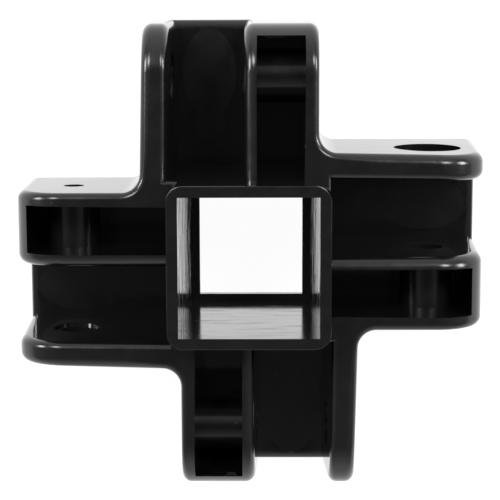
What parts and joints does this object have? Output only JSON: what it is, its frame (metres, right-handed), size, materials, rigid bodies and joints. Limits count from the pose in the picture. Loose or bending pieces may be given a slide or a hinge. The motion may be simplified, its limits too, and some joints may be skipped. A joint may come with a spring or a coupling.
{
  "type": "tent frame connector",
  "caption": "Moulded roof hub of a folding canopy frame: a square mast sleeve in the middle, and arms with open channels that hold truss bars on cross bolts.",
  "frame": {"origin": "on the mast sleeve's axis, in the plane of the flat back", "axes": "+Z along the sleeve's axis towards its open rim; +Y along one arm, whose bolt-head ear is on its -X side and whose pocket is on its +X side"},
  "size_m": [0.1048, 0.1048, 0.0435],
  "materials": {
    "black_nylon": "glossy as moulded, with slightly uneven flat faces"
  },
  "bodies": {
    "root": {"connector_body": "black_nylon"}
  },
  "joints": []
}
